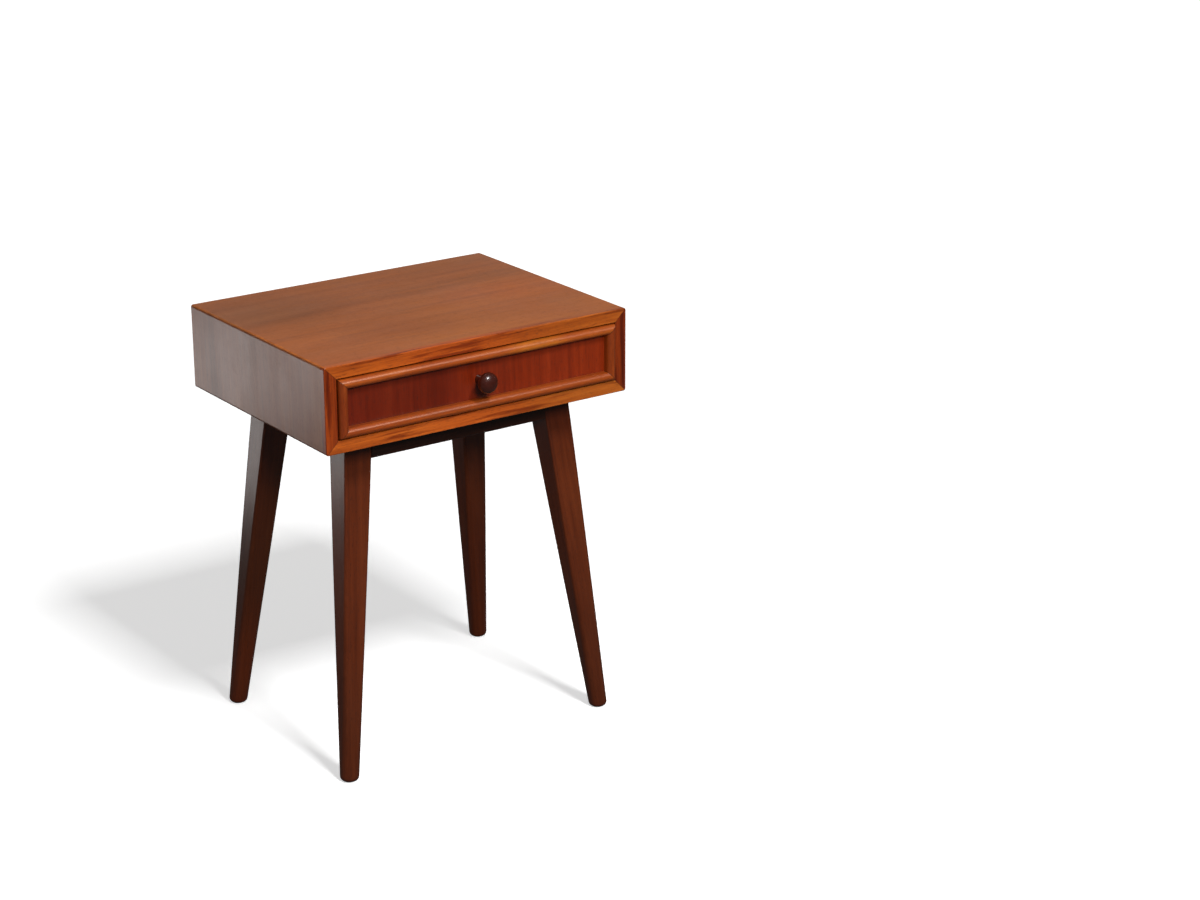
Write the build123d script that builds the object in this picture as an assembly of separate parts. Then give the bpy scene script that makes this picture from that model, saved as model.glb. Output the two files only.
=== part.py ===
"""Small bedside table: a mitred box case with one drawer, on four splayed legs.

Millimetres, +Z up. The front faces -Y and +X is to the right of someone facing it. The origin is
on the floor under the middle of the whole table, from the knob's tip to the back of the case.
"""

from build123d import *
import os

os.makedirs("parts", exist_ok=True)

# ---- overall sizes ------------------------------------------------------------------------------
overall_height = 501.0
case_width = 400.0
case_depth = 305.0
case_height = 100.0
knob_reach = 22.7            # knob's tip in front of the case

# ---- case ---------------------------------------------------------------------------------------
board = 15.0                 # thickness of the four case boards, and width of the front edging
long_edge_radius = 3.0       # rounding of the four edges that run from front to back
lipping_depth = 8.0          # solid edging on the boards' front edges
lipping_edge_radius = 1.2
back_edge_radius = 1.0
opening_edge_radius = 0.6
spline_thickness = 3.0       # loose tongues glued across the mitres
spline_width = 10.0
back_panel_thickness = 5.0
back_panel_inset = 1.5       # the panel stands this far inside the case's back edge
rebate_width = 7.0
back_panel_gap = 0.25

# ---- drawer -------------------------------------------------------------------------------------
drawer_gap = 1.5             # clearance round the drawer front
bead_width = 11.0
bead_crest = 5.5             # the bead's crest stands this far in front of the case
panel_recess = 5.0           # the panel inside the beads lies this far behind the case's front
panel_thickness = 3.0
core_thickness = 14.0
drawer_side_thickness = 12.0
drawer_side_height = 58.0
drawer_side_length = 255.0   # behind the core
drawer_top_edge_radius = 1.5
tail_count = 3               # half-blind dovetails at the front corners
tail_length = 10.0
tail_root = 10.0
tail_flare = 1.6
drawer_back_thickness = 10.0
drawer_back_inset = 8.0      # from the rear ends of the sides
drawer_back_drop = 3.0       # the back's top edge below the sides' top edges
drawer_back_housing = 3.0    # depth of the housings that hold the back
bottom_thickness = 4.0
bottom_lift = 6.0            # groove above the sides' lower edges
bottom_groove_depth = 4.0
bottom_tongue = 5.0          # depth of the groove in the core
bottom_side_gap = 0.2

# ---- runners ------------------------------------------------------------------------------------
runner_height = 12.0
runner_length = 240.0
runner_groove_depth = 6.0
runner_side_clearance = 0.5
runner_height_clearance = 0.3
groove_stop = 4.0            # uncut wood between the groove's closed end and the core

# ---- legs and underframe ------------------------------------------------------------------------
leg_top_x = 131.8            # leg centre lines where they meet the case
leg_top_y = 87.7
foot_x = 174.5               # leg centre lines at the floor
foot_y = 132.8
leg_top_size = 35.5
foot_size = 21.5
leg_top_corner = 2.0
foot_flat = 0.8              # straight run left between the foot's rounded corners
corner_growth = 2.2          # how late, going down, the leg's corners open into a round
leg_stations = 5
foot_edge_radius = 5.5
rail_height = 31.0
rail_thickness = 18.0
rail_edge_radius = 1.5       # rounding of the rails' lower edges
tenon_thickness = 8.0
tenon_height = 20.0
tenon_length = 13.0
tenon_top = 5.0              # shoulder above the tenon
corner_block_leg = 60.0
corner_block_height = 22.0

# ---- fasteners and knob -------------------------------------------------------------------------
runner_screw = (3.5, 7.0, 17.0)         # shank diameter, head diameter, length
underframe_screw = (4.0, 8.0, 33.0)
screw_slot = 1.0
pin_diameter = 1.4
pin_head_diameter = 3.0
pin_head_thickness = 0.6
pin_length = 18.0
knob_radius = 12.1
knob_head_half = 9.0         # half the thickness of the knob's oval head
knob_neck_radius = 4.3
knob_foot_radius = 5.2
knob_screw_diameter = 4.0
knob_screw_depth = 15.0      # bite of the screw into the knob
knob_screw_head_diameter = 8.0
knob_screw_head_height = 3.0
washer_diameter = 12.0
washer_thickness = 1.0

# ---- places worked out from the sizes above -----------------------------------------------------
front_y = knob_reach - (case_depth + knob_reach) / 2
back_y = front_y + case_depth
middle_y = (front_y + back_y) / 2
case_base = overall_height - case_height
case_mid_z = case_base + case_height / 2
opening_width = case_width - 2 * board
opening_height = case_height - 2 * board
board_front_y = front_y + lipping_depth
panel_back_y = back_y - back_panel_inset
panel_front_y = panel_back_y - back_panel_thickness

drawer_width = opening_width - 2 * drawer_gap
drawer_height = opening_height - 2 * drawer_gap
drawer_panel_y = front_y + panel_recess
core_front_y = drawer_panel_y + panel_thickness
core_back_y = core_front_y + core_thickness
side_outer_x = drawer_width / 2
side_inner_x = side_outer_x - drawer_side_thickness
side_low_z = case_mid_z - drawer_side_height / 2
side_high_z = case_mid_z + drawer_side_height / 2
side_back_y = core_back_y + drawer_side_length
bottom_z = side_low_z + bottom_lift
bottom_top_z = bottom_z + bottom_thickness
drawer_back_rear_y = side_back_y - drawer_back_inset
drawer_back_front_y = drawer_back_rear_y - drawer_back_thickness
groove_height = runner_height + 2 * runner_height_clearance
runner_x = side_outer_x - runner_groove_depth + runner_side_clearance
groove_end_y = core_back_y + groove_stop + groove_height / 2


# ---- helpers ------------------------------------------------------------------------------------
def block(x0, x1, y0, y1, z0, z1):
    """Square-edged block between two opposite corners."""
    middle = Pos((x0 + x1) / 2, (y0 + y1) / 2, (z0 + z1) / 2)
    return middle * Box(abs(x1 - x0), abs(y1 - y0), abs(z1 - z0))


def along_y(outline, y0, y1, z_mid=case_mid_z):
    """Run an outline drawn in X and Z from y0 to y1."""
    plane = Plane(origin=(0, y0, z_mid), x_dir=(1, 0, 0), z_dir=(0, -1, 0))
    return extrude(plane * outline, amount=y1 - y0, dir=(0, 1, 0))


def along_x(outline, x0, x1):
    """Run an outline drawn in Y and Z from x0 to x1."""
    plane = Plane(origin=(x0, 0, 0), x_dir=(0, 1, 0), z_dir=(1, 0, 0))
    return extrude(plane * outline, amount=x1 - x0, dir=(1, 0, 0))


def outline_of(points):
    return make_face(Polyline(*points, close=True))


def mitre_outline(side, width, height, band):
    """The trapezium that one side of a mitred frame takes up, seen from the front."""
    w = width / 2
    h = height / 2
    corners = {
        "top": [(-w, h), (w, h), (w - band, h - band), (band - w, h - band)],
        "bottom": [(-w, -h), (w, -h), (w - band, band - h), (band - w, band - h)],
        "left": [(-w, -h), (-w, h), (band - w, h - band), (band - w, band - h)],
        "right": [(w, -h), (w, h), (w - band, h - band), (w - band, band - h)],
    }
    return outline_of(corners[side])


def countersunk_screw(size, slotted=True):
    """Screw with its head's face at the origin, pointing along +Z."""
    shank, head, length = size
    point = shank
    head_height = (head - shank) / 2
    profile = outline_of([
        (0, 0),
        (head / 2, 0),
        (shank / 2, head_height),
        (shank / 2, length - point),
        (0, length),
    ])
    screw = revolve(Plane.XZ * profile, Axis.Z)
    if slotted:
        screw -= Pos(0, 0, 0.3 * head_height) * Box(head, screw_slot, 0.6 * head_height + 0.2)
    return screw


def pin():
    """Thin nail with its head's face at the origin, pointing along +Z."""
    profile = outline_of([
        (0, 0),
        (pin_head_diameter / 2, 0),
        (pin_head_diameter / 2, pin_head_thickness),
        (pin_diameter / 2, pin_head_thickness),
        (pin_diameter / 2, pin_length - pin_diameter),
        (0, pin_length),
    ])
    return revolve(Plane.XZ * profile, Axis.Z)


def cut_all(piece, cutters):
    for cutter in cutters:
        piece = piece - cutter
    return piece


# ---- case ---------------------------------------------------------------------------------------
def case_outline():
    return RectangleRounded(case_width, case_height, long_edge_radius)


def spline_places():
    """Where the tongues cross the four mitres: place and turn, seen from the front."""
    x = case_width / 2 - board / 2
    z = case_height / 2 - board / 2
    return [(x, z, -45), (-x, z, 45), (-x, -z, -45), (x, -z, 45)]


def mitre_splines():
    front = board_front_y + 12
    rear = panel_front_y - 12
    tongues = []
    for x, z, turn in spline_places():
        outline = Pos(x, z) * Rot(0, 0, turn) * Rectangle(spline_width, spline_thickness)
        tongues.append(along_y(outline, front, rear))
    return tongues


def rebate_for_back():
    w = opening_width / 2 + rebate_width
    h = opening_height / 2 + rebate_width
    return block(-w, w, panel_front_y, back_y + 1, case_mid_z - h, case_mid_z + h)


def case_shell():
    """The boxed case behind its front edging, before it is divided at the mitres."""
    shell = along_y(case_outline(), board_front_y, back_y)
    rear_edges = shell.edges().filter_by_position(Axis.Y, back_y - 0.01, back_y + 0.01)
    shell = fillet(rear_edges, back_edge_radius)
    hollow = along_y(Rectangle(opening_width, opening_height), board_front_y - 1, back_y + 1)
    return shell - hollow - rebate_for_back()


def case_board(shell, side, cutters):
    sector = along_y(mitre_outline(side, case_width, case_height, board), board_front_y, back_y)
    return cut_all(shell & sector, cutters)


def lipping_frame():
    frame = along_y(case_outline(), front_y, board_front_y)
    frame -= along_y(Rectangle(opening_width, opening_height), front_y - 1, board_front_y + 1)
    front_edges = frame.edges().filter_by_position(Axis.Y, front_y - 0.01, front_y + 0.01)
    inner = [e for e in front_edges if is_on_opening(e)]
    outer = [e for e in front_edges if not is_on_opening(e)]
    frame = fillet(outer, lipping_edge_radius)
    inner = [e for e in frame.edges().filter_by_position(Axis.Y, front_y - 0.01, front_y + 0.01)
             if is_on_opening(e)]
    return fillet(inner, opening_edge_radius)


def is_on_opening(edge):
    middle = edge.center()
    within_x = abs(middle.X) <= opening_width / 2 + 0.1
    within_z = abs(middle.Z - case_mid_z) <= opening_height / 2 + 0.1
    return within_x and within_z


def lipping(frame, side):
    return frame & along_y(mitre_outline(side, case_width, case_height, board), front_y, board_front_y)


def back_panel(cutters):
    w = opening_width / 2 + rebate_width - back_panel_gap
    h = opening_height / 2 + rebate_width - back_panel_gap
    panel = block(-w, w, panel_front_y, panel_back_y, case_mid_z - h, case_mid_z + h)
    return cut_all(panel, cutters)


def back_panel_pins():
    """Pins driven forward through the panel's margin into the rebates."""
    x = opening_width / 2 + rebate_width / 2
    z = opening_height / 2 + rebate_width / 2
    places = [(step * opening_width / 3, side * z) for step in (-1, 0, 1) for side in (-1, 1)]
    places += [(-x, 0), (x, 0)]
    return [Pos(px, panel_back_y, case_mid_z + pz) * Rot(90, 0, 0) * pin() for px, pz in places]


# ---- runners ------------------------------------------------------------------------------------
def rounded_bar_outline(height, front, rear):
    """Side view of a bar with a half-round front end; its height is centred on the case."""
    radius = height / 2
    bar = Pos((front + rear) / 2, case_mid_z) * Rectangle(rear - front, height)
    return bar + Pos(front, case_mid_z) * Circle(radius)


def runner_screws():
    screws = []
    for hand in (-1, 1):
        for share in (0.08, 0.5, 0.92):
            y = groove_end_y + share * runner_length
            place = Pos(hand * runner_x, y, case_mid_z) * Rot(0, hand * 90, 0)
            screws.append((place, runner_screw))
    return screws


def drawer_runner(hand, cutters):
    outline = rounded_bar_outline(runner_height, groove_end_y, groove_end_y + runner_length)
    x0, x1 = sorted((hand * runner_x, hand * opening_width / 2))
    return cut_all(along_x(outline, x0, x1), cutters)


# ---- drawer -------------------------------------------------------------------------------------
def tail_outlines():
    """Side views of the dovetails on the front end of a drawer side."""
    pitch = drawer_side_height / tail_count
    tip = core_back_y - tail_length
    outlines = []
    for index in range(tail_count):
        z = side_low_z + (index + 0.5) * pitch
        root = tail_root / 2
        wide = root + tail_flare
        outlines.append(outline_of([
            (core_back_y, z - root),
            (core_back_y, z + root),
            (tip, z + wide),
            (tip, z - wide),
        ]))
    return outlines


def tails(hand):
    x0, x1 = sorted((hand * side_inner_x, hand * side_outer_x))
    return [along_x(outline, x0, x1) for outline in tail_outlines()]


def drawer_side(hand):
    x0, x1 = sorted((hand * side_inner_x, hand * side_outer_x))
    side = block(x0, x1, core_back_y, side_back_y, side_low_z, side_high_z)
    top_edges = side.edges().filter_by(Axis.Y).group_by(Axis.Z)[-1]
    side = fillet(top_edges, drawer_top_edge_radius)
    for tail in tails(hand):
        side += tail
    groove = rounded_bar_outline(groove_height, groove_end_y, side_back_y + 1)
    g0, g1 = sorted((hand * (side_outer_x - runner_groove_depth), hand * (side_outer_x + 1)))
    side -= along_x(groove, g0, g1)
    b0, b1 = sorted((hand * (side_inner_x - 1), hand * (side_inner_x + bottom_groove_depth)))
    side -= block(b0, b1, core_back_y, side_back_y + 1, bottom_z, bottom_top_z)
    h0, h1 = sorted((hand * (side_inner_x - 1), hand * (side_inner_x + drawer_back_housing)))
    side -= block(h0, h1, drawer_back_front_y, drawer_back_rear_y, bottom_top_z, side_high_z + 1)
    return side


def drawer_front_core(screw_hole):
    w = drawer_width / 2
    h = drawer_height / 2
    core = block(-w, w, core_front_y, core_back_y, case_mid_z - h, case_mid_z + h)
    for hand in (-1, 1):
        core = cut_all(core, tails(hand))
    core -= bottom_tongue_block()
    return core - screw_hole


def drawer_face_panel(screw_hole):
    w = drawer_width / 2 - bead_width
    h = drawer_height / 2 - bead_width
    return block(-w, w, drawer_panel_y, core_front_y, case_mid_z - h, case_mid_z + h) - screw_hole


def bead(side):
    """Half-round moulding, mitred at both ends, along one edge of the drawer front."""
    radius = bead_width / 2
    centre_y = front_y - bead_crest + radius
    section = Pos(0, (core_front_y + centre_y) / 2) * Rectangle(bead_width, core_front_y - centre_y)
    section += Pos(0, centre_y) * Circle(radius)
    w = drawer_width / 2
    h = drawer_height / 2
    runs = {
        "top": (Plane(origin=(-w, 0, case_mid_z + h - radius), x_dir=(0, 0, 1), z_dir=(-1, 0, 0)), w),
        "bottom": (Plane(origin=(-w, 0, case_mid_z - h + radius), x_dir=(0, 0, 1), z_dir=(-1, 0, 0)), w),
        "left": (Plane(origin=(radius - w, 0, case_mid_z - h), x_dir=(1, 0, 0), z_dir=(0, 0, 1)), h),
        "right": (Plane(origin=(w - radius, 0, case_mid_z - h), x_dir=(1, 0, 0), z_dir=(0, 0, 1)), h),
    }
    plane, half = runs[side]
    away = (1, 0, 0) if side in ("top", "bottom") else (0, 0, 1)
    strip = extrude(plane * section, amount=2 * half, dir=away)
    sector = mitre_outline(side, drawer_width, drawer_height, bead_width)
    return strip & along_y(sector, front_y - bead_crest - 1, core_front_y)


def bottom_tongue_block():
    w = side_inner_x - bottom_side_gap
    return block(-w, w, core_back_y - bottom_tongue, core_back_y, bottom_z, bottom_top_z)


def drawer_bottom(cutters):
    w = side_inner_x + bottom_groove_depth - bottom_side_gap
    panel = block(-w, w, core_back_y, drawer_back_rear_y, bottom_z, bottom_top_z)
    return cut_all(panel + bottom_tongue_block(), cutters)


def drawer_back(cutters):
    w = side_inner_x + drawer_back_housing
    top = side_high_z - drawer_back_drop
    back = block(-w, w, drawer_back_front_y, drawer_back_rear_y, bottom_top_z, top)
    top_edges = back.edges().filter_by(Axis.X).group_by(Axis.Z)[-1]
    return cut_all(fillet(top_edges, drawer_top_edge_radius), cutters)


def drawer_bottom_pins():
    y = (drawer_back_front_y + drawer_back_rear_y) / 2
    return [Pos(x * side_inner_x, y, bottom_z) * pin() for x in (-0.7, 0, 0.7)]


# ---- knob ---------------------------------------------------------------------------------------
def about_knob_axis(profile):
    """Turn a profile of (radius, distance in front of the panel) about the knob's axis."""
    plane = Plane(origin=(0, drawer_panel_y, case_mid_z), x_dir=(1, 0, 0), z_dir=(0, 0, 1))
    axis = Axis((0, drawer_panel_y, case_mid_z), (0, -1, 0))
    return revolve(plane * profile, axis)


def knob(screw_hole):
    """Turned knob: an oval head on a waisted neck that flares where it meets the panel."""
    tip = knob_reach + panel_recess
    head_middle = tip - knob_head_half
    neck = (
        Polyline((0, 0), (knob_foot_radius, 0))
        + ThreePointArc(
            (knob_foot_radius, 0),
            (knob_neck_radius, -0.3 * head_middle),
            (knob_neck_radius, -0.7 * head_middle),
        )
        + Polyline((knob_neck_radius, -0.7 * head_middle), (0, -0.7 * head_middle), (0, 0))
    )
    head = Pos(0, -head_middle) * Ellipse(knob_radius, knob_head_half)
    one_side = Pos(tip / 2, -tip / 2) * Rectangle(tip, tip)
    return about_knob_axis((make_face(neck) + head) & one_side) - screw_hole


def knob_screw(slotted=True):
    """Round-headed screw from inside the drawer, through its washer, into the knob."""
    inside = core_back_y - drawer_panel_y
    shank = knob_screw_diameter / 2
    head = knob_screw_head_diameter / 2
    under_head = inside + washer_thickness
    profile = outline_of([
        (0, -knob_screw_depth),
        (shank, -knob_screw_depth + knob_screw_diameter),
        (shank, under_head),
        (head, under_head),
        (head, under_head + 0.4 * knob_screw_head_height),
        (0.7 * head, under_head + knob_screw_head_height),
        (0, under_head + knob_screw_head_height),
    ])
    screw = about_knob_axis(profile)
    if slotted:
        y = core_back_y + washer_thickness + knob_screw_head_height
        screw -= block(-head, head, y - 1.2, y + 1, case_mid_z - screw_slot / 2, case_mid_z + screw_slot / 2)
    return screw


def knob_washer():
    ring = Circle(washer_diameter / 2) - Circle(knob_screw_diameter / 2)
    return along_y(ring, core_back_y, core_back_y + washer_thickness)


# ---- legs and underframe ------------------------------------------------------------------------
def leg_section(share, square=False):
    """Level section of a leg, from its foot (share 0) to its top (share 1)."""
    size = foot_size + share * (leg_top_size - foot_size)
    full_round = (size - foot_flat) / 2
    corner = leg_top_corner + (full_round - leg_top_corner) * (1 - share) ** corner_growth
    outline = Rectangle(size, size) if square else RectangleRounded(size, size, corner)
    x = foot_x + share * (leg_top_x - foot_x)
    y = foot_y + share * (leg_top_y - foot_y)
    return Pos(x, y, share * case_base) * outline


def mirrored(piece, hand, end):
    """A piece made at the right rear corner, moved to another corner of the underframe."""
    if hand < 0:
        piece = mirror(piece, about=Plane.YZ)
    if end < 0:
        piece = mirror(piece, about=Plane.XZ)
    return Pos(0, middle_y, 0) * piece


def leg_shape():
    stations = [index / (leg_stations - 1) for index in range(leg_stations)]
    leg = loft([leg_section(share) for share in stations])
    sole = leg.edges().group_by(Axis.Z)[0]
    return fillet(sole, foot_edge_radius)


def leg_blank():
    """The leg as sawn, with sharp corners: the rails' shoulders are cut to this."""
    return loft([leg_section(0, square=True), leg_section(1, square=True)])


def outer_face(top, foot):
    """Distance of a leg's outer face from the middle, at the case and at the rails' lower edge."""
    at_top = top + leg_top_size / 2
    at_foot = foot + foot_size / 2
    share = rail_height / case_base
    return at_top, at_top + share * (at_foot - at_top)


def rail_outline(top, foot):
    """Section of a rail whose outer face carries on the slant of the legs' outer faces."""
    high, low = outer_face(top, foot)
    outline = outline_of([
        (high, case_base),
        (low, case_base - rail_height),
        (low - rail_thickness, case_base - rail_height),
        (high - rail_thickness, case_base),
    ])
    return fillet(outline.vertices().sort_by(Axis.Y)[:2], rail_edge_radius)


def tenon_zs():
    return case_base - tenon_top - tenon_height, case_base - tenon_top


def tenon_middle(top, foot):
    high, low = outer_face(top, foot)
    return (high + low - rail_thickness) / 2


def cross_rail_shape():
    """Rail along X at the rear, with a tenon on each end."""
    low_z, high_z = tenon_zs()
    rail = along_x(rail_outline(leg_top_y, foot_y), -leg_top_x, leg_top_x)
    for hand in (-1, 1):
        blank = leg_blank() if hand > 0 else mirror(leg_blank(), about=Plane.YZ)
        rail -= blank
    y = tenon_middle(leg_top_y, foot_y)
    reach = leg_top_x - leg_top_size / 2 + tenon_length
    half = tenon_thickness / 2
    return rail + block(-reach, reach, y - half, y + half, low_z, high_z)


def side_rail_shape():
    """Rail along Y at the right, with a tenon on each end."""
    low_z, high_z = tenon_zs()
    plane = Plane(origin=(0, leg_top_y, 0), x_dir=(1, 0, 0), z_dir=(0, -1, 0))
    rail = extrude(plane * rail_outline(leg_top_x, foot_x), amount=2 * leg_top_y, dir=(0, -1, 0))
    for end in (-1, 1):
        blank = leg_blank() if end > 0 else mirror(leg_blank(), about=Plane.XZ)
        rail -= blank
    x = tenon_middle(leg_top_x, foot_x)
    reach = leg_top_y - leg_top_size / 2 + tenon_length
    half = tenon_thickness / 2
    return rail + block(x - half, x + half, -reach, reach, low_z, high_z)


def corner_block_shape(rails):
    """Triangular brace notched round the leg and glued to both rails."""
    low = case_base - corner_block_height
    x = leg_top_x + leg_top_size / 2 - rail_thickness
    y = leg_top_y + leg_top_size / 2 - rail_thickness
    margin = 6.0
    outline = outline_of([
        (x + margin, y + margin),
        (x - corner_block_leg, y + margin),
        (x - corner_block_leg, y),
        (x, y - corner_block_leg),
        (x + margin, y - corner_block_leg),
    ])
    brace = extrude(Pos(0, 0, low) * outline, amount=corner_block_height, dir=(0, 0, 1))
    brace = cut_all(brace - leg_blank(), rails)
    return max(brace.solids(), key=lambda solid: solid.volume)


def underframe_screw_place():
    """Under the middle of the right rear corner block."""
    x = leg_top_x - leg_top_size / 2
    y = leg_top_y - leg_top_size / 2
    step = (corner_block_leg - 2 * (leg_top_size - rail_thickness)) / 4
    return Pos(x - step, y - step, case_base - corner_block_height)


# ---- assembly -----------------------------------------------------------------------------------
def build_case(pieces, screw_holes):
    splines = mitre_splines()
    pins = back_panel_pins()
    shell = case_shell()
    for side in ("top", "bottom", "left", "right"):
        pieces["case_" + side] = case_board(shell, side, splines + pins + screw_holes)
    frame = lipping_frame()
    for side in ("top", "bottom", "left", "right"):
        pieces["front_edging_" + side] = lipping(frame, side)
    pieces["mitre_splines"] = Compound(splines)
    pieces["back_panel"] = back_panel(pins)
    pieces["back_panel_pins"] = Compound(pins)


def build_runners(pieces):
    screws = [place * countersunk_screw(size) for place, size in runner_screws()]
    holes = [place * countersunk_screw(size, slotted=False) for place, size in runner_screws()]
    pieces["runner_left"] = drawer_runner(-1, holes)
    pieces["runner_right"] = drawer_runner(1, holes)
    pieces["runner_screws"] = Compound(screws)
    return holes


def build_underframe(pieces):
    cross_rail = cross_rail_shape()
    side_rail = side_rail_shape()
    leg = leg_shape() - cross_rail - side_rail
    brace = corner_block_shape([cross_rail, side_rail])
    screw_place = underframe_screw_place()
    hole = screw_place * countersunk_screw(underframe_screw, slotted=False)
    screw = screw_place * countersunk_screw(underframe_screw)
    screws = []
    holes = []
    for end, end_name in ((-1, "front"), (1, "rear")):
        pieces["rail_" + end_name] = mirrored(cross_rail, 1, end)
        for hand, hand_name in ((-1, "left"), (1, "right")):
            corner = end_name + "_" + hand_name
            pieces["leg_" + corner] = mirrored(leg, hand, end)
            pieces["corner_block_" + corner] = mirrored(brace - hole, hand, end)
            screws.append(mirrored(screw, hand, end))
            holes.append(mirrored(hole, hand, end))
    pieces["rail_left"] = mirrored(side_rail, -1, 1)
    pieces["rail_right"] = mirrored(side_rail, 1, 1)
    pieces["underframe_screws"] = Compound(screws)
    return holes


def build_drawer(pieces):
    screw_hole = knob_screw(slotted=False)
    pins = drawer_bottom_pins()
    pieces["drawer_front_core"] = drawer_front_core(screw_hole)
    pieces["drawer_face_panel"] = drawer_face_panel(screw_hole)
    for side in ("top", "bottom", "left", "right"):
        pieces["drawer_bead_" + side] = bead(side)
    pieces["drawer_side_left"] = drawer_side(-1)
    pieces["drawer_side_right"] = drawer_side(1)
    pieces["drawer_back"] = drawer_back(pins)
    pieces["drawer_bottom"] = drawer_bottom(pins)
    pieces["drawer_bottom_pins"] = Compound(pins)
    pieces["knob"] = knob(screw_hole)
    pieces["knob_screw"] = knob_screw()
    pieces["knob_washer"] = knob_washer()


def main():
    pieces = {}
    screw_holes = build_runners(pieces) + build_underframe(pieces)
    build_case(pieces, screw_holes)
    build_drawer(pieces)
    for name, piece in pieces.items():
        export_step(piece, f"parts/{name}.step")


main()
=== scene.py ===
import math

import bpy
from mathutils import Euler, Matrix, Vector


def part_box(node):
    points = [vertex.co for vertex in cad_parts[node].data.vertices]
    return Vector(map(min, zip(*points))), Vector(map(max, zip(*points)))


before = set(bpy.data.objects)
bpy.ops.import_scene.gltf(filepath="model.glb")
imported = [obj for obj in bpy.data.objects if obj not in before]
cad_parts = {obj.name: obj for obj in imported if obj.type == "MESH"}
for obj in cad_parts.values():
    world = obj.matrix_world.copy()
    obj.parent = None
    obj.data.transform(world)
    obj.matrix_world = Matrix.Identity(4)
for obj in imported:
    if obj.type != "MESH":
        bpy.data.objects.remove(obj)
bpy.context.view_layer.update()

# The looks of a small bedside table: a stained and lacquered case with one drawer, on four splayed
# legs. Metres, +Z up, the front faces -Y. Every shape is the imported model's own, and this script
# gives each one its material, and adds the floor, the lights and the camera.


def box_of(*nodes):
    """Lowest and highest corner of several nodes together."""
    lows, highs = zip(*(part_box(node) for node in nodes))
    return Vector(map(min, zip(*lows))), Vector(map(max, zip(*highs)))


CASE_LOW, CASE_HIGH = box_of("case_top", "case_bottom", "front_edging_top", "front_edging_bottom")
CASE_MIDDLE = (CASE_LOW + CASE_HIGH) / 2
ALONG_X = (1, 0, 0)
ALONG_Y = (0, 1, 0)
ALONG_Z = (0, 0, 1)

# ---- finishes: dark streak, body and light streak of each wood, in linear colour -----------------
TOP_TONES = ((0.246, 0.065, 0.010), (0.348, 0.091, 0.013), (0.438, 0.127, 0.021))
SIDE_TONES = ((0.120, 0.030, 0.006), (0.190, 0.050, 0.010), (0.250, 0.076, 0.017))
EDGING_TONES = ((0.190, 0.028, 0.003), (0.375, 0.070, 0.007), (0.500, 0.115, 0.014))
STILE_TONES = ((0.125, 0.015, 0.002), (0.235, 0.035, 0.003), (0.320, 0.058, 0.006))
BEAD_TONES = ((0.155, 0.022, 0.002), (0.260, 0.046, 0.004), (0.345, 0.080, 0.008))
# A darker copy of the bead wood for the upright beads: painted shade.
SHADED_UPRIGHT_BEAD_TONES = ((0.095, 0.011, 0.001), (0.160, 0.022, 0.002), (0.220, 0.038, 0.004))
PANEL_TONES = ((0.085, 0.007, 0.001), (0.155, 0.014, 0.002), (0.215, 0.024, 0.004))
LEG_TONES = ((0.052, 0.010, 0.003), (0.090, 0.017, 0.004), (0.128, 0.027, 0.007))
# A darkened copy of the legs' wood for the rails: painted shade of the case above them.
SHADED_RAIL_TONES = ((0.014, 0.004, 0.002), (0.028, 0.007, 0.003), (0.045, 0.012, 0.005))
KNOB_TONES = ((0.018, 0.002, 0.001), (0.036, 0.005, 0.002), (0.060, 0.009, 0.003))
BEECH_TONES = ((0.350, 0.185, 0.085), (0.490, 0.285, 0.145), (0.590, 0.370, 0.205))
CORE_TONES = ((0.270, 0.140, 0.065), (0.390, 0.225, 0.112), (0.480, 0.295, 0.160))
PLY_TONES = ((0.360, 0.195, 0.090), (0.490, 0.295, 0.150), (0.590, 0.385, 0.215))
PORE = (0.020, 0.006, 0.003)
SEAM = (0.030, 0.007, 0.003)
RUST = (0.17, 0.13, 0.10)
BARE_STEEL = (0.46, 0.43, 0.38)

# What a wood's colour is multiplied by, in places.
RED_STAIN = (1.06, 0.84, 0.78)
FLECK = (0.42, 0.27, 0.22)
# Painted shade along the drawer panel's rim, next to the beads.
RIM_SHADE = (0.30, 0.24, 0.24)
# Pale tint of worn edges; on the beads' crests it is also a painted highlight.
WORN_AND_SHEEN = (1.55, 1.75, 2.0)
PLY_EDGE = (0.52, 0.44, 0.38)

FIBRES = 0.5                 # how much the finest fibres show
RING_MEAN = 0.25             # the growth rings' average darkness
RIM_SHADE_REACH = 0.004          # how far the painted shade comes in from a rim
WOOD_RELIEF = 0.00012        # height of a wood's pores and fibres
PLY_RELIEF = 0.00015
STEEL_RELIEF = 0.00005
BOTTOM_PLY = 0.0013          # thickness of one layer in the drawer's bottom
BACK_PLY = 0.00167           # and in the back panel
LEG_TOP_HALF = 0.01775       # half the width of a leg's square top
LEG_FOOT_HALF = 0.01075      # half the width of its round foot


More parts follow.
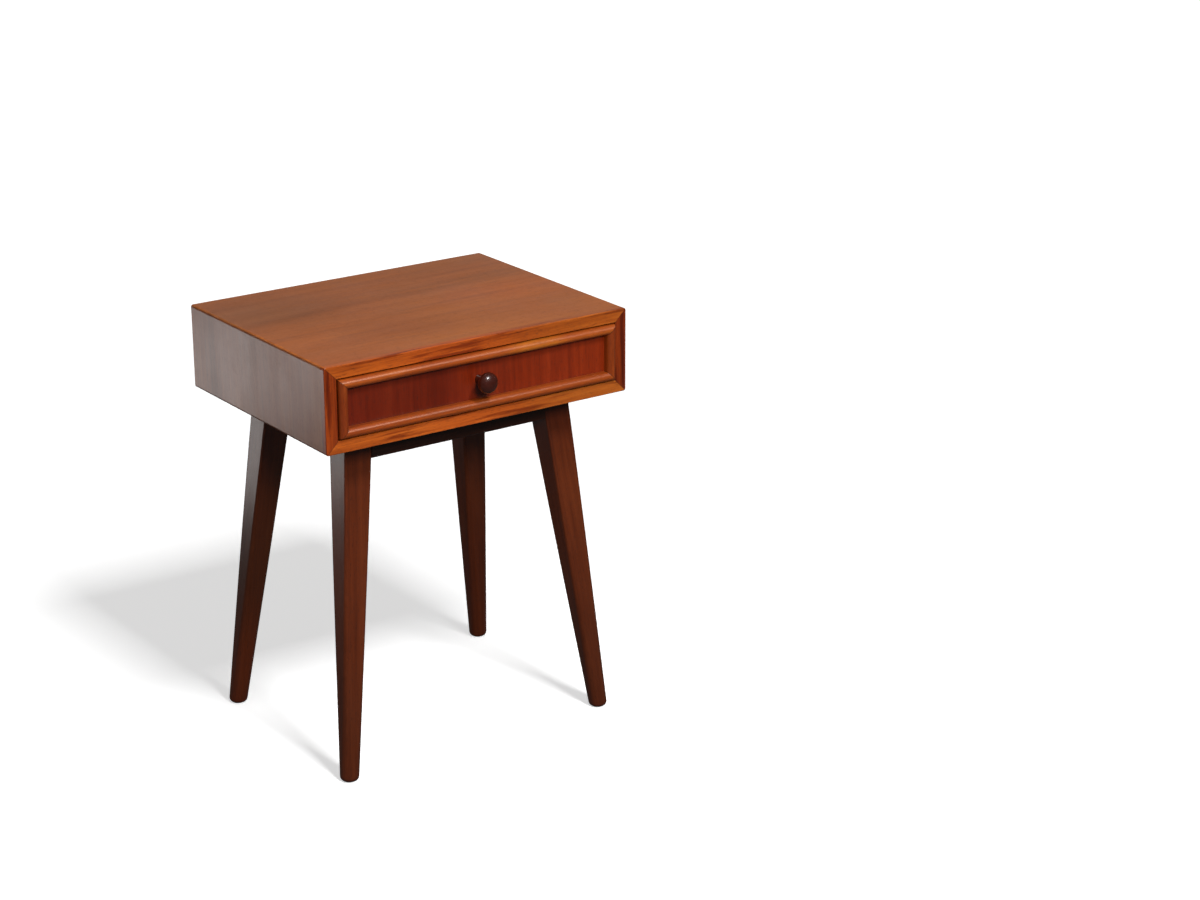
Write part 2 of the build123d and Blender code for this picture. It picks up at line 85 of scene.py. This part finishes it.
class Shader:
    """One material's node tree. Each call adds a node and returns one of its outputs."""

    def __init__(self, name):
        self.material = bpy.data.materials.new(name)
        self.material.use_nodes = True
        self.tree = self.material.node_tree
        self.surface = self.tree.nodes["Principled BSDF"]

    def node(self, kind, inputs, output=0, **settings):
        made = self.tree.nodes.new("ShaderNode" + kind)
        for name, value in settings.items():
            setattr(made, name, value)
        for key, value in inputs.items():
            self.feed(made.inputs[key], value)
        return made.outputs[output]

    def feed(self, socket, value):
        if isinstance(value, bpy.types.NodeSocket):
            self.tree.links.new(value, socket)
        else:
            socket.default_value = value

    def maths(self, operation, first, second=0.0):
        return self.node("Math", {0: first, 1: second}, operation=operation)

    def vector(self, operation, first, second=(0, 0, 0), third=(0, 0, 0)):
        return self.node("VectorMath", {0: first, 1: second, 2: third}, operation=operation)

    def length(self, vector):
        return self.node("VectorMath", {0: vector}, output="Value", operation="LENGTH")

    def split(self, vector):
        apart = self.tree.nodes.new("ShaderNodeSeparateXYZ")
        self.feed(apart.inputs[0], vector)
        return apart.outputs

    def place(self):
        return self.node("TexCoord", {}, output="Object")

    def noise(self, place, stretch, detail=2.0, roughness=0.5, output=0):
        """Noise whose grains are 1 / stretch metres long, wide and deep."""
        spread = self.vector("MULTIPLY", place, stretch)
        inputs = {"Vector": spread, "Scale": 1.0, "Detail": detail, "Roughness": roughness}
        return self.node("TexNoise", inputs, output=output)

    def fit(self, value, low, high, to_low=0.0, to_high=1.0):
        """The value moved from one range to another, held at its ends."""
        inputs = {"Value": value, 1: low, 2: high, 3: to_low, 4: to_high}
        return self.node("MapRange", inputs, interpolation_type="SMOOTHSTEP")

    def total(self, start, *shares):
        """start plus each value times its weight."""
        for value, weight in shares:
            start = self.node("Math", {0: value, 1: weight, 2: start}, operation="MULTIPLY_ADD")
        return start

    def ramp(self, factor, stops):
        colours = self.tree.nodes.new("ShaderNodeValToRGB")
        self.feed(colours.inputs[0], factor)
        elements = colours.color_ramp.elements
        while len(elements) < len(stops):
            elements.new(0.5)
        for element, (position, colour) in zip(elements, stops):
            element.position = position
            element.color = (*colour, 1)
        return colours.outputs[0]

    def blend(self, factor, first, second, how="MIX"):
        mix = self.tree.nodes.new("ShaderNodeMix")
        mix.data_type = "RGBA"
        mix.blend_type = how
        self.feed(mix.inputs["Factor"], factor)
        for key, value in ((6, first), (7, second)):
            self.feed(mix.inputs[key], value if hasattr(value, "is_linked") else (*value, 1))
        return mix.outputs[2]

    def tint(self, factor, colour, by):
        return self.blend(factor, colour, by, how="MULTIPLY")

    def bump(self, height, depth, strength=1.0):
        """Surface normal over a height of 0 to 1 that stands for depth metres."""
        return self.node("Bump", {"Height": height, "Distance": depth, "Strength": strength})


# ---- distances that wear, painted highlight, painted shade and seams follow ------------------------
def box_edges(low, high):
    """Distance to the nearest edge of a box, for a point on one of its faces."""
    def distance(shader):
        out = shader.vector("ABSOLUTE", shader.vector("SUBTRACT", shader.place(), (low + high) / 2))
        a, b, c = shader.split(shader.vector("SUBTRACT", (high - low) / 2, out))
        lower = shader.maths("MINIMUM", a, b)
        upper = shader.maths("MAXIMUM", a, b)
        return shader.maths("MAXIMUM", lower, shader.maths("MINIMUM", c, upper))
    return distance


def frame_gaps(shader, low, high):
    """How far inside an upright rectangle a point is, from its sides and from its top and bottom."""
    out = shader.vector("ABSOLUTE", shader.vector("SUBTRACT", shader.place(), (low + high) / 2))
    aside, _, above = shader.split(shader.vector("SUBTRACT", (high - low) / 2, out))
    return aside, above


def frame_mitres(*nodes):
    """Distance to the mitres at the corners of the frame that the nodes make."""
    low, high = box_of(*nodes)

    def distance(shader):
        aside, above = frame_gaps(shader, low, high)
        return shader.maths("ABSOLUTE", shader.maths("SUBTRACT", aside, above))
    return distance


def bead_crest(node, grain):
    """Distance to the line along the middle of a bead's round face."""
    low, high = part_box(node)
    crest = (low + high) / 2
    crest.y = low.y
    across = Vector((1, 1, 1)) - Vector(grain)

    def distance(shader):
        out = shader.vector("SUBTRACT", shader.place(), crest)
        return shader.length(shader.vector("MULTIPLY", out, across))
    return distance


def leg_line(node):
    """A leg's centre line: its middle under the case, and its middle on the floor."""
    low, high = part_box(node)
    top = Vector((0, 0, high.z))
    foot = Vector((0, 0, low.z))
    for axis in (0, 1):
        outward = low[axis] + high[axis] > 2 * CASE_MIDDLE[axis]
        inner, outer, way = (low[axis], high[axis], 1) if outward else (high[axis], low[axis], -1)
        top[axis] = inner + way * LEG_TOP_HALF
        foot[axis] = outer - way * LEG_FOOT_HALF
    return top, foot


def leg_corners(node):
    """Distance to the nearest of a tapered leg's four long corners."""
    top, foot = leg_line(node)
    rise = top.z - foot.z
    lean = (top - foot) / rise
    swell = (LEG_TOP_HALF - LEG_FOOT_HALF) / rise

    def distance(shader):
        height = shader.split(shader.place())[2]
        centre = shader.vector("MULTIPLY_ADD", height, lean, foot)
        aside, along, _ = shader.split(
            shader.vector("ABSOLUTE", shader.vector("SUBTRACT", shader.place(), centre)))
        half = shader.total(LEG_FOOT_HALF, (height, swell))
        return shader.maths("SUBTRACT", half, shader.maths("MINIMUM", aside, along))
    return distance


# ---- wood ---------------------------------------------------------------------------------------
def in_the_plank(shader, grain, pith, tilt=1.2):
    """Place in the tree: X runs along the grain, and the pith is the X axis."""
    turn = Vector(grain).rotation_difference(Vector(ALONG_X)).to_matrix()
    lean = Euler((0, math.radians(tilt), math.radians(-tilt))).to_matrix()
    inputs = {
        "Vector": shader.place(),
        "Rotation": (lean @ turn).to_euler(),
        "Location": pith,
    }
    return shader.node("Mapping", inputs)


def growth_rings(shader, plank, spacing):
    """How dark each ring is, from 0 in its early wood to 1 at the end of its late wood."""
    drift = shader.noise(plank, (3.0, 9.0, 9.0), detail=3.0, output="Color")
    wander = shader.vector("MULTIPLY_ADD", drift, (0, 0.03, 0.03), plank)
    radius = shader.length(shader.vector("MULTIPLY", wander, (0, 1, 1)))
    uneven = shader.node("TexNoise", {"W": radius, "Scale": 0.3 / spacing}, noise_dimensions="1D")
    turns = shader.total(shader.maths("DIVIDE", radius, spacing), (uneven, 1.8))
    phase = shader.maths("FRACT", turns)
    late = shader.fit(phase, 0.15, 0.88)
    fresh = shader.fit(phase, 0.88, 1.0, 1.0, 0.0)
    shown = shader.fit(shader.noise(plank, (2.0, 15.0, 15.0), detail=2.0), 0.36, 0.62, 0.25, 1.0)
    return shader.maths("MULTIPLY", shader.maths("MULTIPLY", late, fresh), shown)


def spotted(shader, colour, spots):
    """The colour with soft spots: each has a middle, a reach each way, and a tint. Some are stain, some a
    painted highlight on the top bead, one a painted shadow on a leg's top.
    """
    drift = shader.noise(shader.place(), (12.0, 12.0, 12.0), detail=3.0, output="Color")
    back = shader.vector("SUBTRACT", shader.place(), (0.03, 0.03, 0.03))
    place = shader.vector("MULTIPLY_ADD", drift, (0.06, 0.06, 0.06), back)
    for middle, reach, tint in spots:
        out = shader.vector("DIVIDE", shader.vector("SUBTRACT", place, middle), reach)
        colour = shader.tint(shader.fit(shader.length(out), 0.2, 1.0, 1.0, 0.0), colour, tint)
    return colour


def worn_and_sheen_edge(shader, edges, wear, rub):
    """How pale the wood is, up to wear, near its edges and up to rub metres further in: wear, and on the
    beads' crests also a painted highlight.
    """
    ragged = shader.noise(shader.place(), (60.0, 60.0, 60.0), detail=4.0, roughness=0.7)
    reach = shader.fit(ragged, 0.35, 0.75, 0.0, rub)
    beyond = shader.maths("SUBTRACT", edges(shader), reach)
    return shader.fit(beyond, -0.0016, 0.0010, wear, 0.0)


def wood(name, tones, grain, pith=(0, 0.06, 0.11), spacing=0.013, rings=0.22, figure=1.3, streaks=1.0,
         flecks=0.0, spots=(), edges=None, wear=0.4, rub=0.0045, seam=None, rim=None,
         coat=1.0, gloss=0.26, shine=1.5, rough=0.42):
    """One board. edges, seam and rim are functions that give a distance, for wear (on the beads' crests
    also a painted highlight), joints and painted shade.
    """
    shader = Shader(name)
    plank = in_the_plank(shader, grain, pith)
    sway = shader.noise(plank, (2.0, 7.0, 7.0), output="Color")
    line = shader.vector("MULTIPLY_ADD", sway, (0, 0.012, 0.012), plank)

    cloud = shader.noise(line, (2.4, 16.0, 16.0), detail=3.0, roughness=0.55)
    streak = shader.noise(line, (4.0, 190.0, 190.0), detail=4.0, roughness=0.62)
    fibre = shader.noise(line, (28.0, 1300.0, 1300.0), detail=2.0)
    ring = growth_rings(shader, plank, spacing)
    level = 0.5 - figure / 2 - streaks / 2 - FIBRES / 2 + rings * RING_MEAN
    tone = shader.total(level, (cloud, figure), (streak, streaks), (fibre, FIBRES), (ring, -rings))
    dark, body, light = tones
    colour = shader.ramp(tone, ((0.10, dark), (0.50, body), (0.90, light)))

    stain = shader.fit(shader.noise(plank, (5.0, 11.0, 11.0), detail=2.0), 0.30, 0.70, 0.0, 0.35)
    colour = shader.tint(stain, colour, RED_STAIN)
    if spots:
        colour = spotted(shader, colour, spots)
    if flecks:
        fleck = shader.noise(line, (9.0, 170.0, 170.0), detail=3.0, roughness=0.55)
        colour = shader.tint(shader.fit(fleck, 0.50, 0.66, 0.0, flecks), colour, FLECK)
    pores = shader.fit(shader.noise(line, (150.0, 1700.0, 1700.0), detail=1.0), 0.60, 0.70)
    colour = shader.blend(shader.maths("MULTIPLY", pores, 0.4), colour, PORE)

    smudge = shader.noise(shader.place(), (9.0, 9.0, 9.0), detail=4.0, roughness=0.6)
    roughness = shader.fit(smudge, 0.3, 0.7, rough - 0.10, rough + 0.12)
    roughness = shader.total(roughness, (pores, 0.15))
    if rim is not None:
        # Painted shade, darker towards the rim.
        rim_shade = shader.fit(rim(shader), 0.0, RIM_SHADE_REACH, 0.25, 0.0)
        colour = shader.tint(rim_shade, colour, RIM_SHADE)
    if edges is not None:
        # Paler near the edges: wear, and on the beads' crests also a painted highlight.
        worn_and_sheen = worn_and_sheen_edge(shader, edges, wear, rub)
        colour = shader.tint(worn_and_sheen, colour, WORN_AND_SHEEN)
        roughness = shader.total(roughness, (worn_and_sheen, 0.15))
    if seam is not None:
        colour = shader.blend(shader.fit(seam(shader), 0.0002, 0.0007, 0.75, 0.0), colour, SEAM)

    surface = shader.surface.inputs
    shader.feed(surface["Base Color"], colour)
    shader.feed(surface["Roughness"], roughness)
    relief = shader.total(0.5, (fibre, 0.35), (pores, -1.0))
    shader.feed(surface["Normal"], shader.bump(relief, WOOD_RELIEF, 0.6))
    surface["Specular IOR Level"].default_value = 0.15
    if coat:
        brushed = shader.noise(line, (6.0, 45.0, 45.0), detail=3.0, roughness=0.6)
        shader.feed(surface["Coat Weight"], shader.fit(brushed, 0.3, 0.7, coat - 0.16, coat))
        surface["Coat Roughness"].default_value = gloss
        surface["Coat IOR"].default_value = shine
    return shader.material


def steel(name):
    shader = Shader(name)
    place = shader.place()
    brushed = shader.noise(place, (900.0, 900.0, 9000.0), detail=2.0)
    spots = shader.fit(shader.noise(place, (300.0, 300.0, 300.0), detail=4.0), 0.45, 0.72)
    surface = shader.surface.inputs
    surface["Metallic"].default_value = 1.0
    shader.feed(surface["Base Color"], shader.blend(spots, BARE_STEEL, RUST))
    shader.feed(surface["Roughness"], shader.fit(spots, 0.0, 1.0, 0.28, 0.55))
    shader.feed(surface["Normal"], shader.bump(brushed, STEEL_RELIEF, 0.4))
    return shader.material


def plywood(name, thin, low, layer, grain):
    """Veneer on both faces, and crossed plies in the edges. The sheet starts at low on its thin axis."""
    shader = Shader(name)
    plank = in_the_plank(shader, grain, (0.3, 0.2, 0.4))
    figure = shader.noise(plank, (3.0, 22.0, 22.0), detail=3.0)
    streaks = shader.noise(plank, (5.0, 260.0, 260.0), detail=3.0, roughness=0.6)
    tone = shader.fit(shader.maths("ADD", figure, streaks), 0.70, 1.30)
    dark, body, light = PLY_TONES
    colour = shader.ramp(tone, ((0.0, dark), (0.5, body), (1.0, light)))
    depth = shader.maths("SUBTRACT", shader.split(shader.place())[thin], low)
    ply = shader.fit(shader.maths("PINGPONG", shader.maths("DIVIDE", depth, layer), 1.0), 0.42, 0.58)
    facing = shader.split(shader.node("NewGeometry", {}, output="Normal"))[thin]
    edge = shader.maths("LESS_THAN", shader.maths("ABSOLUTE", facing), 0.5)
    colour = shader.tint(shader.maths("MULTIPLY", ply, edge), colour, PLY_EDGE)
    surface = shader.surface.inputs
    shader.feed(surface["Base Color"], colour)
    shader.feed(surface["Roughness"], shader.fit(figure, 0.3, 0.7, 0.52, 0.70))
    shader.feed(surface["Normal"], shader.bump(streaks, PLY_RELIEF, 0.5))
    surface["Specular IOR Level"].default_value = 0.3
    return shader.material


# ---- one material for each node ------------------------------------------------------------------
def on_case(across, back, up=0.0):
    """A place in the case, each way from -1 to 1."""
    half = (CASE_HIGH - CASE_LOW) / 2
    return CASE_MIDDLE + Vector((across * half.x, back * half.y, up * half.z))


def dress(node, material):
    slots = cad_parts[node].data.materials
    slots.clear()
    slots.append(material)


def dress_case():
    case_edges = box_edges(CASE_LOW, CASE_HIGH)
    dark_back = (on_case(-0.1, 0.95), (0.40, 0.20, 1.0), (0.86, 0.90, 1.05))
    dark_left = (on_case(-0.75, 0.35), (0.15, 0.10, 1.0), (0.76, 0.78, 0.80))
    dark_middle = (on_case(-0.25, -0.45), (0.09, 0.05, 1.0), (0.88, 0.84, 0.80))
    bright_right = (on_case(0.55, -0.10), (0.13, 0.09, 1.0), (1.08, 1.04, 1.0))
    dress("case_top", wood("case_top_wood", TOP_TONES, ALONG_X, pith=(0, 0.10, -0.36), spacing=0.021,
                           rings=0.14, figure=0.8, streaks=0.6, edges=case_edges, gloss=0.32,
                           spots=(dark_back, dark_left, dark_middle, bright_right)))
    dress("case_bottom", wood("case_bottom_wood", TOP_TONES, ALONG_X, pith=(0.7, 0.10, -0.20)))
    for side, shift in (("left", 0.9), ("right", 1.7)):
        node = "case_" + side
        dress(node, wood(node + "_wood", SIDE_TONES, ALONG_Z, pith=(shift, 0.05, 0.30),
                         edges=case_edges, gloss=0.30))
    pieces = ["front_edging_" + side for side in ("top", "bottom", "left", "right")]
    mitres = frame_mitres(*pieces)
    bright_end = (on_case(-0.95, -1.0), (0.14, 1.0, 1.0), (1.08, 1.24, 1.15))
    dull_end = (on_case(0.75, -1.0), (0.16, 1.0, 1.0), (0.84, 0.97, 0.95))
    for node, shift in zip(pieces, (0.2, 1.3, 0.4, 2.1)):
        upright = node.endswith(("left", "right"))
        tones, grain = (STILE_TONES, ALONG_Z) if upright else (EDGING_TONES, ALONG_X)
        dress(node, wood(node + "_wood", tones, grain, pith=(shift, 0.31, -0.30), spacing=0.006, rings=0.15,
                         figure=1.4, flecks=0.9, edges=case_edges, wear=0.25, seam=mitres,
                         gloss=0.30, spots=() if upright else (bright_end, dull_end)))


def dress_drawer():
    pieces = ["drawer_bead_" + side for side in ("top", "bottom", "left", "right")]
    mitres = frame_mitres(*pieces)
    # Pale patches on the top bead: right of the middle, wear and painted highlight; at the left end,
    # painted highlight.
    worn_highlit_patch = (on_case(0.36, -1.0, 0.6), (0.045, 1.0, 0.02), (1.30, 1.75, 1.5))
    highlit_left_end = (on_case(-0.80, -1.0, 0.6), (0.12, 1.0, 0.02), (1.15, 1.35, 1.6))
    for node, shift in zip(pieces, (0.3, 1.9, 0.8, 2.6)):
        upright = node.endswith(("left", "right"))
        grain = ALONG_Z if upright else ALONG_X
        # The upright beads take the darker copy, a painted shade.
        tones = SHADED_UPRIGHT_BEAD_TONES if upright else BEAD_TONES
        # The beads' crests are paled strongly: wear, and a painted highlight along each crest.
        dress(node, wood(node + "_wood", tones, grain, pith=(shift, 0.31, -0.30), spacing=0.009,
                         rings=0.10, edges=bead_crest(node, grain), wear=0.62, rub=0.0014,
                         seam=mitres, gloss=0.32, shine=1.6, spots=(worn_highlit_patch, highlit_left_end)))
    dress_face_panel(pieces)
    dress("drawer_front_core", wood("drawer_front_core_wood", CORE_TONES, ALONG_X, coat=0.0, rough=0.6))
    dress("drawer_back", wood("drawer_back_wood", BEECH_TONES, ALONG_X, coat=0.0, rough=0.6,
                              pith=(0.5, 0.2, -0.3)))
    for side, shift in (("left", 0.8), ("right", 2.6)):
        node = "drawer_side_" + side
        dress(node, wood(node + "_wood", BEECH_TONES, ALONG_Y, coat=0.0, rough=0.6,
                         pith=(shift, 0.2, -0.3)))
    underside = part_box("drawer_bottom")[0].z
    dress("drawer_bottom", plywood("drawer_bottom_plywood", 2, underside, BOTTOM_PLY, ALONG_X))
    dress("knob", wood("knob_wood", KNOB_TONES, ALONG_Y, pith=(0, 0.0, -0.45), rings=0.05, figure=0.8,
                       streaks=0.5, gloss=0.26, shine=1.7, rough=0.35))


def dress_face_panel(beads):
    """The veneer inside the beads, redder and darker at its left end, with painted shade along its rim next
    to the beads.
    """
    low = Vector((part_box(beads[2])[1].x, 0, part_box(beads[1])[1].z))
    high = Vector((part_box(beads[3])[0].x, 0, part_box(beads[0])[0].z))

    # Distance from the panel's rim, along which shade is painted.
    def rim(shader):
        return shader.maths("MINIMUM", *frame_gaps(shader, low, high))

    red_left = (on_case(-0.9, -1.0), (0.30, 1.0, 1.0), (0.66, 0.60, 0.75))
    bright_right = (on_case(0.6, -1.0), (0.16, 1.0, 1.0), (1.18, 1.30, 1.10))
    dress("drawer_face_panel", wood("drawer_face_panel_wood", PANEL_TONES, ALONG_Z, pith=(0, 0.02, 0.9),
                                    spacing=0.011, rings=0.12, figure=1.2, streaks=0.8, rim=rim, gloss=0.30,
                                    spots=(red_left, bright_right)))


def leg_spots(side, top, foot):
    """Where a leg is darker: at the foot of all but the rear left leg, around the middle of the rear left
    leg, and at the top of the front right leg, where the case's shadow is painted.
    """
    dark_foot = (foot, (0.10, 0.10, 0.30), (0.72, 0.72, 0.74))
    # Painted shadow of the case's overhang on the leg's top.
    case_shadow_top = (top, (0.10, 0.10, 0.14), (0.72, 0.64, 0.62))
    dark_middle = (top.lerp(foot, 0.5), (0.10, 0.10, 0.16), (0.62, 0.72, 0.80))
    return {"front_right": (dark_foot, case_shadow_top), "rear_left": (dark_middle,)}.get(side, (dark_foot,))


def dress_underframe():
    for side, shift in (("front_left", 13), ("front_right", 11), ("rear_left", 12), ("rear_right", 10)):
        node = "leg_" + side
        top, foot = leg_line(node)
        dress(node, wood(node + "_wood", LEG_TONES, foot - top, pith=(shift, 0.2, 0.35), spacing=0.009,
                         rings=0.10, streaks=0.8, edges=leg_corners(node), wear=0.2, gloss=0.26,
                         spots=leg_spots(side, top, foot)))
        block = "corner_block_" + side
        dress(block, wood(block + "_wood", BEECH_TONES, ALONG_X, coat=0.0, rough=0.65))
    # The rails take the darkened wood, a painted shade under the case.
    for side in ("front", "rear"):
        dress("rail_" + side, wood("rail_" + side + "_wood", SHADED_RAIL_TONES, ALONG_X, pith=(1.1, 0.2, 0.3)))
    for side in ("left", "right"):
        dress("rail_" + side, wood("rail_" + side + "_wood", SHADED_RAIL_TONES, ALONG_Y, pith=(1.6, 0.2, 0.3)))


def dress_inside():
    inner_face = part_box("back_panel")[0].y
    dress("back_panel", plywood("back_panel_plywood", 1, inner_face, BACK_PLY, ALONG_X))
    for side in ("left", "right"):
        node = "runner_" + side
        dress(node, wood(node + "_wood", BEECH_TONES, ALONG_Y, coat=0.0, rough=0.5))
    dress("mitre_splines", wood("mitre_spline_wood", BEECH_TONES, ALONG_Y, coat=0.0, rough=0.6))
    metal = steel("screw_steel")
    for node in ("back_panel_pins", "runner_screws", "underframe_screws", "drawer_bottom_pins",
                 "knob_screw", "knob_washer"):
        dress(node, metal)


# ---- floor, backdrop, lights and camera ----------------------------------------------------------
TABLE = (0, 0, 0.35)         # what the lamps are aimed at
FLOOR_RADIUS = 14.0
SHADE_LIFT = 0.625           # the floor's own light near the table, so that its shadows stay pale
LIFT_NEAR = 0.9              # where that light starts to rise, metres from the table's middle
LIFT_FAR = 2.6               # and where it reaches full white
RIM_POINTS = 96              # corners of a disc
HIGH = (0.04, -2.4, 3.2)     # where the key lamps hang
WHITE = (1, 1, 1)
WARM = (1.0, 0.82, 0.64)


def disc(name, radius, height, material):
    turns = [place * math.tau / RIM_POINTS for place in range(RIM_POINTS)]
    rim = [(radius * math.cos(turn), radius * math.sin(turn), height) for turn in turns]
    mesh = bpy.data.meshes.new(name)
    mesh.from_pydata(rim, [], [list(range(RIM_POINTS))])
    mesh.materials.append(material)
    made = bpy.data.objects.new(name, mesh)
    bpy.context.scene.collection.objects.link(made)
    return made


def only_for(thing, camera, light):
    """Which rays meet the thing: those from the camera, or those that carry light about."""
    thing.visible_camera = camera
    thing.visible_diffuse = light
    thing.visible_glossy = light
    thing.visible_transmission = light
    thing.visible_shadow = light


def pale_floor():
    shader = Shader("floor_pale")
    lift = shader.fit(shader.length(shader.place()), LIFT_NEAR, LIFT_FAR, SHADE_LIFT, 1.0)
    grain = shader.noise(shader.place(), (40.0, 40.0, 40.0), detail=3.0)
    surface = shader.surface.inputs
    shader.feed(surface["Base Color"], shader.blend(grain, (0.84, 0.84, 0.84), (0.88, 0.88, 0.88)))
    surface["Roughness"].default_value = 0.9
    surface["Specular IOR Level"].default_value = 0.0
    surface["Emission Color"].default_value = (1, 1, 1, 1)
    shader.feed(surface["Emission Strength"], lift)
    seen = disc("floor", FLOOR_RADIUS, 0.0, shader.material)
    only_for(seen, True, False)

    shader = Shader("floor_bounce")
    shader.surface.inputs["Base Color"].default_value = (0.05, 0.05, 0.05, 1)
    shader.surface.inputs["Roughness"].default_value = 0.9
    shader.surface.inputs["Specular IOR Level"].default_value = 0.0
    bounce = disc("floor_bounce", FLOOR_RADIUS, -0.0005, shader.material)
    only_for(bounce, False, True)
    return seen


def white_dome():
    shader = Shader("backdrop_white")
    shader.surface.inputs["Base Color"].default_value = (0, 0, 0, 1)
    shader.surface.inputs["Emission Color"].default_value = (1, 1, 1, 1)
    shader.surface.inputs["Emission Strength"].default_value = 1.0
    bpy.ops.mesh.primitive_uv_sphere_add(radius=FLOOR_RADIUS - 0.5, segments=48, ring_count=24)
    dome = bpy.context.object
    dome.name = "backdrop"
    dome.data.materials.append(shader.material)
    only_for(dome, True, False)


def softbox(name, place, size, power, colour=WHITE, aim=TABLE, lights=True, reflects=True):
    """A square of light. One that only reflects gives sheen, and one that doesn't gives fill."""
    lamp = bpy.data.lights.new(name, "AREA")
    lamp.shape = "RECTANGLE"
    lamp.size, lamp.size_y = size
    lamp.energy = power
    lamp.color = colour
    made = bpy.data.objects.new(name, lamp)
    made.location = place
    made.rotation_euler = (Vector(aim) - Vector(place)).to_track_quat("-Z", "Y").to_euler()
    bpy.context.scene.collection.objects.link(made)
    made.visible_camera = False
    made.visible_diffuse = lights
    made.visible_glossy = reflects
    return made


def link_light(lamp, things, state):
    """Lets a lamp light these things alone (INCLUDE), or all but them (EXCLUDE)."""
    listed = bpy.data.collections.new(lamp.name + "_reach")
    for place, thing in enumerate(things):
        listed.objects.link(thing)
        listed.collection_objects[place].light_linking.link_state = state
    lamp.light_linking.receiver_collection = listed


def dim_world():
    world = bpy.data.worlds.new("studio")
    world.use_nodes = True
    background = world.node_tree.nodes["Background"].inputs
    background["Color"].default_value = (1.0, 0.98, 0.96, 1)
    background["Strength"].default_value = 0.08
    bpy.context.scene.world = world


def studio():
    floor = pale_floor()
    white_dome()
    dim_world()
    link_light(softbox("floor_key", HIGH, (0.8, 0.8), 155.0), [floor], "INCLUDE")
    lamps = (
        softbox("key", HIGH, (0.65, 0.65), 88.0),
        softbox("front", (-0.75, -2.8, 2.05), (1.0, 0.8), 90.0, reflects=False),
        softbox("right", (3.0, 0.4, 1.1), (1.6, 1.2), 36.0, reflects=False),
        softbox("back", (-0.7, 3.1, 1.1), (1.6, 1.2), 36.0, reflects=False),
        softbox("left", (-3.0, -0.7, 0.9), (1.6, 1.2), 9.0, reflects=False),
    )
    for lamp in lamps:
        link_light(lamp, [floor], "EXCLUDE")
    level_beads = [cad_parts[node] for node in ("drawer_bead_top", "drawer_bead_bottom")]
    bead_sheen = softbox("bead_sheen", (0.95, -2.1, 2.0), (0.9, 0.9), 18.0, WARM, lights=False)
    link_light(bead_sheen, level_beads, "INCLUDE")
    softbox("side_sheen", (-1.05, 1.40, 0.01), (1.0, 0.9), 6.1, (1.0, 0.96, 0.94),
            aim=(-1.05, 1.40, 1.0), lights=False)
    softbox("back_sheen", (1.75, 2.45, 1.50), (3.4, 2.2), 2.5, (1.0, 0.94, 0.90), lights=False)


def camera():
    """The main view: from 36 degrees left of the front, looking 19 degrees down."""
    lens = bpy.data.cameras.new("camera")
    lens.lens = 78.203
    lens.sensor_width = 36.0
    lens.clip_start = 0.05
    lens.clip_end = 60.0
    made = bpy.data.objects.new("camera", lens)
    made.location = (-1.5115, -2.4638, 1.3328)
    made.rotation_euler = (math.radians(70.791), 0.0, math.radians(-35.791))
    bpy.context.scene.collection.objects.link(made)
    bpy.context.scene.camera = made


dress_case()
dress_drawer()
dress_underframe()
dress_inside()
studio()
camera()
bpy.context.scene.view_settings.view_transform = "Standard"
bpy.context.scene.view_settings.look = "None"
